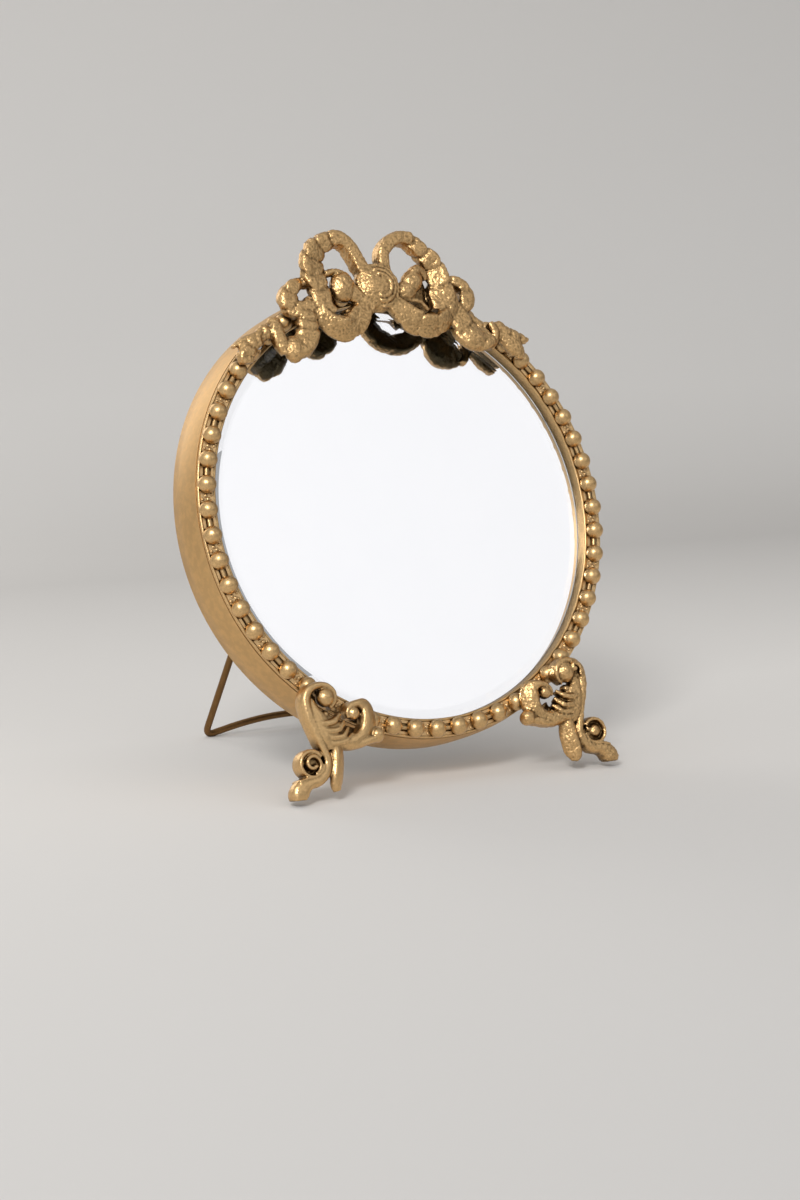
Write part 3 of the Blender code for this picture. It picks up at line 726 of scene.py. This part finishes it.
def knot(s):
    """A domed button with three ridges that curl round it."""
    ball(s, -3.0, 109.2, -7.0, 12.2, 12.4, 6.8, -8, 24, 40)
    for turn in range(3):
        rows = []
        for k in range(11):
            a = radians(118 - 21 * k - 10 * turn)
            r = 10.8 - 2.4 * turn - 0.10 * k
            depth = -6.9 - 6.8 * sqrt(max(0, 1 - (r / 12.3) ** 2))
            rows.append((-2.8 + r * cos(a), 109 + r * 1.02 * sin(a), depth, 1.0, 0.9, 0))
        sweep(s, rows, 5, 8, 1.0)


def make_bow():
    shape = Shape()
    knot(shape)
    bow_right(shape)
    bow_left(shape)
    bosses(shape, CREST)
    mesh = cast_skin(shape, "bow", 0.45, 1, 1.0)
    new_object("bow", mesh, GOLD_CAST, replaces=("bow_crest",))


def bosses(shape, angles):
    """The studs that stand in the bead band behind a casting."""
    for t in angles:
        ball(shape, BOSS_CIRCLE * cos(t), BOSS_CIRCLE * sin(t), -2.2, 3, 3, 3.2)


def cast_skin(shape, name, voxel, soften, depth):
    """The bodies of a casting as one sand-cast skin in its place, its roughness scaled by depth."""
    mesh = remeshed(shape, name, voxel, soften)
    roughen(mesh, [(1.1, 0.24 * depth), (2.2, 0.22 * depth), (5, 0.25 * depth)])
    paint_back_shade(mesh)
    placed(mesh)
    mesh.shade_smooth()
    return mesh


def paint_back_shade(mesh):
    """Marks the faces that look into the drum, where the gold gets painted shade."""
    # painted shade mask: grows as a vertex normal turns into the drum
    back_shade_mask = np.clip(vertex_rows(mesh, "normal")[:, 1] * 2.2 - 0.35, 0, 1)
    mesh.attributes.new("back_shade", "FLOAT", "POINT").data.foreach_set("value", back_shade_mask)


# ---------------------------------------------------------------- feet


def foot(s, side):
    """One scroll foot, laid out for the right and turned over for the left."""

    def rod(rows, per=8, **settings):
        sweep(s, [(side * r[0], *r[1:5], side * r[5]) for r in rows], per, **settings)

    def egg(x, v, d, rx, rv, rd, turn=0):
        ball(s, side * x, v, d, rx, rv, rd, side * turn, 14, 24)

    # stem: a deep strip that wraps over the top volute and runs down to the toe
    rod([
        (65.6, -94.2, -6.4, 0.9, 2.6, 0), (63.2, -91.0, -6.4, 1.3, 3.8, 0),
        (63.2, -86.6, -6.2, 1.6, 4.4, 0), (66.6, -83.4, -6.0, 1.7, 4.6, 0),
        (71.6, -83.0, -5.8, 1.9, 4.8, 0), (76.0, -85.2, -5.6, 2.4, 4.8, 0),
        (78.0, -89.6, -5.4, 2.6, 4.8, 0), (77.6, -95.2, -5.4, 2.8, 4.8, 0),
        (76.0, -101.4, -5.4, 2.6, 4.8, 0), (74.2, -107.6, -5.4, 2.2, 4.8, 0),
        (72.4, -113.4, -5.6, 2.4, 4.6, 0), (71.4, -118.6, -5.8, 2.4, 4.4, 0),
        (73.2, -123.6, -5.8, 2.8, 4.4, 0), (77.4, -127.0, -5.8, 2.7, 4.4, 0),
        (82.0, -127.8, -5.8, 3.0, 4.4, 0), (85.8, -129.6, -5.8, 4.4, 4.6, 0),
        (87.8, -132.4, -5.8, 4.6, 4.6, 0), (88.0, -134.8, -5.6, 3.8, 4.0, 0),
    ])
    if side < 0:
        egg(67.4, -88.8, -7.6, 4.5, 4.7, 4.4)
    else:
        egg(68.4, -88.4, -7.8, 5.2, 5.4, 4.6)
        # small hook cut beside the volute's ball
        rod([
            (76.6, -91.0, -9.4, 1.0, 1.6, 0), (76.8, -87.2, -9.6, 1.1, 1.8, 0),
            (74.4, -84.8, -9.8, 1.1, 1.8, 0), (72.0, -85.6, -10.6, 1.0, 1.8, 0),
            (72.0, -87.8, -11.2, 1.0, 1.6, 0),
        ], 6, sides=12)
        egg(72.6, -87.6, -11.4, 1.3, 1.3, 1.3)
    # rough web behind the flutes
    rod([
        (75.6, -89, -5.0, 2.4, 3.6, 0), (74.0, -95, -5.8, 3.6, 4.0, 0), (71.4, -101.4, -6.4, 5.4, 4.0, -10),
        (68.0, -107.0, -6.4, 6.4, 4.0, -14), (67.4, -113, -6.0, 4.2, 3.8, -10),
    ])
    rod([
        (66.0, -101.6, -5.6, 3.0, 3.6, 0), (62.6, -105.4, -5.4, 3.4, 3.6, 0),
        (60.4, -108.8, -5.2, 3.0, 3.6, 0),
    ])
    egg(68.4, -96.8, -6.0, 2.6, 2.4, 3.0)
    if side < 0:
        egg(66.4, -103.8, -6.6, 7.4, 6.4, 3.7, 30)
    # four flutes fan inwards from the stem like folded fingers
    flutes = (
        ((61.6, -97.6), (66.4, -100.8), (74.0, -100.4), 1.5),
        ((59.8, -101.2), (64.4, -104.8), (72.8, -103.8), 1.5),
        ((58.2, -104.4), (62.6, -108.0), (71.2, -107.2), 1.4),
        ((56.4, -107.2), (61.0, -110.2), (69.6, -110.4), 1.3),
    )
    for tip, mid, root, thick in flutes:
        rising = ((tip[0] + mid[0]) / 2, tip[1] * 0.4 + mid[1] * 0.6)
        falling = ((mid[0] + root[0]) / 2, (mid[1] + root[1]) / 2 - 0.5)
        rod([
            (*tip, -6.6, thick * 0.75, 2.6, 0), (*rising, -7.6, thick, 3.0, 0),
            (*mid, -8.4, thick * 1.1, 3.0, 0), (*falling, -8.4, thick * 1.1, 2.8, 0),
            (*root, -8.0, thick, 2.2, 0),
        ], 6, sides=14)
    # inner curl: a broad rough cup round a small ball
    rod([
        (57.4, -99.6, -7.0, 1.0, 3.2, 0), (57.6, -96.6, -7.0, 1.3, 3.8, 0),
        (55.2, -94.0, -6.8, 1.6, 4.2, 0), (51.4, -93.6, -6.6, 2.2, 4.6, -8),
        (47.8, -95.2, -6.4, 4.2, 4.0, -28), (46.4, -99.4, -6.4, 5.0, 3.8, -34),
        (47.4, -104.6, -6.4, 4.8, 3.8, -30), (51.6, -108.6, -6.2, 3.8, 4.2, -14),
        (57.4, -110.6, -6.2, 3.3, 4.6, 0), (63.4, -110.4, -6.0, 2.9, 4.4, 0),
        (68.6, -108.4, -5.8, 2.4, 4.0, 0),
    ])
    egg(54.4, -97.6, -8.2, 3.3, 3.3, 3.8)
    rod([(55, -103, -3.0, 3.4, 1.4, 0), (57, -108, -3.2, 3.4, 1.6, 0)], 5)
    egg(42.8, -108.8, -7.2, 3.6, 3.9, 4.2, -20)
    rod([
        (42.6, -110.6, -6.4, 1.8, 3.8, 0), (47.4, -110.8, -6.2, 2.2, 4.4, 0),
        (53, -112.2, -6.0, 2.1, 4.4, 0), (59, -112.4, -5.8, 2.0, 4.2, 0), (64, -111.0, -5.8, 1.8, 4.0, 0),
    ])
    # tongue leaf
    rod([
        (66.4, -109.4, -7.2, 2.4, 3.0, -20), (65.4, -114.6, -6.8, 4.0, 3.0, -40),
        (65.6, -120.4, -6.4, 4.6, 2.8, -44), (66.8, -126.2, -6.2, 4.7, 2.6, -44),
        (67.6, -130.0, -6.0, 3.6, 2.4, -42), (67.2, -132.6, -5.8, 1.8, 1.8, -40),
    ])
    # low scroll: a rim round its ball, on a thin floor
    x, v, radius = 79.9, -119.0, 5.9
    ring = []
    for k in range(13):
        a = radians(150 - 27 * k)
        ring.append((x + radius * cos(a), v + radius * sin(a), -5.6, 1.25, 4.5, 0))
    rod(ring, 5)
    egg(x, v, -5.2, 5.8, 5.8, 3.2)
    if side > 0:
        egg(80.4, -118.9, -6.0, 3.9, 3.9, 4.2)
        egg(76.6, -117.8, -8.2, 1.1, 1.1, 1.2)
    else:
        curl = []
        for k in range(14):
            a = radians(255 - 32 * k)
            radius = 4.9 - 0.27 * k
            curl.append((x + radius * cos(a), v + radius * sin(a), -6.6 - 0.14 * k, 1.1, 3.4, 0))
        rod(curl, 5)
    # thin flared lip between the scroll and the toe
    rod([
        (78.6, -125.8, -5.6, 0.8, 4.4, 0), (83.6, -125.4, -5.6, 0.7, 4.6, 0),
        (88.0, -126.4, -5.6, 0.8, 4.4, 0),
    ], 6)


def make_feet():
    """The right foot is rough from the mould; the left one is worn smooth."""
    feet = ((1, "foot_scroll_right", "foot_right", 0.8, GOLD_CAST),
            (-1, "foot_scroll_left", "foot_left", 0.3, GOLD_WORN))
    for side, name, node, rough, finish in feet:
        shape = Shape()
        foot(shape, side)
        bosses(shape, [t for t in FEET if cos(t) * side > 0])
        mesh = cast_skin(shape, name, 0.4, 2, rough)
        for vertex in mesh.vertices:
            vertex.co.z = max(vertex.co.z, 0.0)  # the toe is level where it stands
        new_object(name, mesh, finish, replaces=(node,))


# ---------------------------------------------------------------- stand, brackets and screws


def bend(corner, back, ahead, steps=10):
    """A rounded corner between a line that comes from direction back and one that goes ahead."""
    corner, back, ahead = Vector(corner), Vector(back), Vector(ahead)
    length = BEND_RADIUS / tan(back.angle(ahead) / 2)
    start, end = corner + back * length, corner + ahead * length
    out = []
    for i in range(steps + 1):
        t = i / steps
        out.append(tuple(start.lerp(corner, t).lerp(corner.lerp(end, t), t)))
    return out


def wire_line():
    """The stand's centre line as (x, fall from the hinge): ends, legs and the arched bar."""
    leg = Vector((LEG_FOOT_X - LEG_TOP_X, LEG_REACH)).normalized()
    bar = Vector((-1, -2 * BAR_RISE / LEG_FOOT_X)).normalized()
    half = [(PIVOT_END_X, 0)]
    half += bend((LEG_TOP_X, 0), (-1, 0), leg)
    half += bend((LEG_FOOT_X, LEG_REACH), -leg, bar)
    steps = 14
    for i in range(1, steps + 1):
        x = LEG_FOOT_X * (1 - i / steps)
        if x < half[-1][0] - 0.5:
            half.append((x, LEG_REACH - BAR_RISE * (1 - (x / LEG_FOOT_X) ** 2)))
    line = half + [(-x, fall) for x, fall in reversed(half[:-1])]
    points = []
    for (x, fall), (next_x, next_fall) in zip(line, line[1:]):
        parts = max(1, int(hypot(next_x - x, next_fall - fall) / 6))
        for k in range(parts):
            points.append((x + (next_x - x) * k / parts, fall + (next_fall - fall) * k / parts))
    return points + [line[-1]]


def make_stand():
    """One bent wire with slightly rounded ends, laid out from its hinge down to the table."""
    hinge = Vector(frame["joints"][0]["pos_m"])
    back_y = (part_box("stand_wire")[1].y - hinge.y) / MM - WIRE_RADIUS
    down_z = hinge.z / MM - WIRE_RADIUS
    slope = atan2(down_z, back_y)
    sides = 20
    line = np.array([(x, 0, -fall) for x, fall in wire_line()])
    tangent = np.gradient(line, axis=0)
    tangent /= np.linalg.norm(tangent, axis=1)[:, None]
    point_out = 0.35
    rows = [(line[0] - tangent[0] * point_out, tangent[0], 0.8)]
    rows += [(point, way, 1.0) for point, way in zip(line, tangent)]
    rows.append((line[-1] + tangent[-1] * point_out, tangent[-1], 0.8))
    verts = []
    for point, way, size in rows:
        side = np.array([-way[2], 0, way[0]])
        for j in range(sides):
            a = 2 * pi * j / sides
            verts.append(point + (side * cos(a) + np.array([0, 1, 0]) * sin(a)) * WIRE_RADIUS * size)
    shape = Shape()
    shape.add(verts, tube_faces(len(rows), sides))
    lay = Matrix.Translation(hinge) @ Matrix.Rotation(pi / 2 - slope, 4, "X") @ Matrix.Scale(MM, 4)
    mesh = smooth(placed(shape.mesh("stand_rod"), lay), 50)
    new_object("stand_rod", mesh, GOLD_WIRE, body="stand", replaces=("stand_wire",))


def screw_head(shape, x, v, seat):
    """A pan head that faces the back, with a cross recess."""
    radius, high, steps, turn = 2.6, 1.6, 32, 0.5
    rings = [(radius * 0.98, seat)]
    for i in range(7):
        t = radians(90 * i / 6)
        rings.append((radius * (0.55 + 0.45 * cos(t)), seat + high * (0.35 + 0.65 * sin(t))))
    angles = [2 * pi * j / steps for j in range(steps)]
    verts = [(x + r * cos(a), d, v + r * sin(a)) for r, d in rings for a in angles]
    for r, d in ((1.35, seat + high), (0.9, seat + high * 0.45)):
        for a in angles:
            reach = r * (1 if abs(sin(2 * (a + turn))) < 0.42 else 0.42)
            verts.append((x + reach * cos(a), d, v + reach * sin(a)))
    shape.add(verts, tube_faces(len(rings) + 2, steps))


def make_screws():
    """The heads that show on the back: four on the cover and two on each hinge bracket."""
    angles = [pi / 4 + quarter * pi / 2 for quarter in range(4)]
    cover = [(COVER_SCREW_CIRCLE * cos(t), COVER_SCREW_CIRCLE * sin(t)) for t in angles]
    out, up = 25.5, 6.7  # from the mirror's middle line and from the hinge's line
    bracket = [(side * out, HINGE_UP + rise) for side in (-1, 1) for rise in (-up, up)]
    for kind, places, seat in (("cover_screw", cover, COVER_SEAT), ("bracket_screw", bracket, STRAP_SEAT)):
        for number, (x, v) in enumerate(places, 1):
            name = f"{kind}_head_{number}"
            shape = Shape()
            screw_head(shape, x, v, seat)
            mesh = smooth(placed(shape.mesh(name)), 35)
            new_object(name, mesh, STEEL, replaces=(f"{kind}_{number}",))


# ---------------------------------------------------------------- carried-over nodes


def dress_cad_nodes():
    """The carried-over nodes are zinc-plated steel, but for the cushion and the board."""
    finishes = {"glass_cushion": FELT, "backing_board": BOARD}
    for name, obj in frame["nodes"].items():
        obj.data.materials.clear()
        obj.data.materials.append(finishes.get(name, STEEL))


# ---------------------------------------------------------------- studio


def studio():
    """A sweep of pale paper with painted shade: a little darker towards the front and where it turns up."""
    k = Nodes("pale_paper")
    away = k.node("SeparateXYZ", {"Vector": k.coords.outputs["Object"]}).outputs["Y"]
    reach = k.node("MapRange", {"Value": away, "From Min": -0.9, "From Max": 1.8}).outputs["Result"]
    # painted shade: the paper's colour darkens towards the front and where it turns up
    greys = [(0, (0.49, 0.476, 0.460)), (0.37, (0.775, 0.747, 0.710)),
             (0.60, (0.60, 0.577, 0.548)), (0.85, (0.80, 0.774, 0.738))]
    k.set(Base_Color=k.ramp(reach, greys), Roughness=0.9)
    turn_y, radius, steps = 1.0, 0.8, 12
    rows = [(-4, 0), (turn_y, 0)]
    for i in range(1, steps + 1):
        t = radians(90 * i / steps)
        rows.append((turn_y + radius * sin(t), radius - radius * cos(t)))
    rows.append((turn_y + radius, 4))
    verts = [(x, y, z) for x in (-6, 6) for y, z in rows]
    n = len(rows)
    faces = [(i, i + 1, n + i + 1, n + i) for i in range(n - 1)]
    mesh = bpy.data.meshes.new("paper_sweep")
    mesh.from_pydata(verts, [], faces)
    mesh.shade_smooth()
    mesh.materials.append(k.material)
    paper = bpy.data.objects.new("paper_sweep", mesh)
    bpy.context.scene.collection.objects.link(paper)


def area_light(name, place, target, size, power, colour=(1, 1, 1)):
    data = bpy.data.lights.new(name, "AREA")
    data.shape = "RECTANGLE"
    data.size, data.size_y = size
    data.energy = power
    data.color = colour
    obj = bpy.data.objects.new(name, data)
    bpy.context.scene.collection.objects.link(obj)
    obj.location = place
    obj.rotation_euler = (target - Vector(place)).to_track_quat("-Z", "Y").to_euler()


def room():
    """A world that is dark below, white above and dimmer on the right."""
    world = bpy.data.worlds.new("room")
    bpy.context.scene.world = world
    world.use_nodes = True
    tree = world.node_tree
    coords = tree.nodes.new("ShaderNodeTexCoord")
    split = tree.nodes.new("ShaderNodeSeparateXYZ")
    tree.links.new(coords.outputs["Generated"], split.inputs[0])
    height = tree.nodes.new("ShaderNodeMapRange")
    height.inputs["From Min"].default_value = -1
    tree.links.new(split.outputs["Z"], height.inputs["Value"])
    ramp = tree.nodes.new("ShaderNodeValToRGB")
    ramp.color_ramp.elements[0].position = 0.30
    ramp.color_ramp.elements[0].color = (0.12, 0.11, 0.10, 1)
    ramp.color_ramp.elements[1].position = 0.62
    ramp.color_ramp.elements[1].color = (0.96, 0.975, 1.0, 1)
    tree.links.new(height.outputs["Result"], ramp.inputs["Fac"])
    across = tree.nodes.new("ShaderNodeMapRange")
    for key, value in {"From Min": -1, "From Max": 1, "To Min": 0.85, "To Max": 0.36}.items():
        across.inputs[key].default_value = value
    tree.links.new(split.outputs["X"], across.inputs["Value"])
    background = tree.nodes["Background"]
    tree.links.new(ramp.outputs["Color"], background.inputs["Color"])
    tree.links.new(across.outputs["Result"], background.inputs["Strength"])


def compass(turn, rise):
    """The way that lies turn degrees round from -Y towards +X, and rise degrees up."""
    turn, rise = radians(turn), radians(rise)
    return Vector((sin(turn) * cos(rise), -cos(turn) * cos(rise), sin(rise)))


def lights():
    """A panel where the glass looks, a key light on the front left and a weaker one behind."""
    mirror_way = compass(31, 28)
    area_light("window_panel", RING + mirror_way * 1.5, RING, (0.66, 0.66), 0.78, (1.0, 0.985, 1.0))
    key_way = Vector((-0.62, -0.62, 0.60)).normalized()
    area_light("softbox", RING + key_way * 2.6, RING, (0.65, 0.65), 34)
    area_light("side_panel", (-0.34, 1.0, 0.62), RING, (0.6, 0.8), 2.2)


def camera():
    """A long lens on the front left and a little above, aimed below the ring's centre."""
    unit = 0.108  # metres: distances are given in bead-circle radii, and the lens in sensor heights
    away, aside, up_by, lens = 10.741, -0.0421, -0.4135, 1.9845
    place = compass(-31.24, 7.65) * away
    ahead = -place.normalized()
    right = ahead.cross(Vector((0, 0, 1))).normalized()
    up = right.cross(ahead)
    place = place + right * aside + up * up_by
    data = bpy.data.cameras.new("camera")
    data.sensor_fit = "VERTICAL"
    data.sensor_height = 36
    data.lens = lens * data.sensor_height
    data.clip_start = 0.05
    obj = bpy.data.objects.new("camera", data)
    bpy.context.scene.collection.objects.link(obj)
    turn = Matrix((right, up, -ahead)).transposed().to_4x4()
    obj.matrix_world = Matrix.Translation(RING + place * unit) @ turn
    bpy.context.scene.camera = obj


def main():
    dress_cad_nodes()
    make_bezel()
    make_casing()
    make_glass()
    make_back()
    make_bow()
    make_feet()
    make_stand()
    make_screws()
    studio()
    room()
    lights()
    camera()
    scene = bpy.context.scene
    scene.view_settings.view_transform = "Standard"
    scene.cycles.max_bounces = 12
    scene.cycles.transmission_bounces = 8


main()
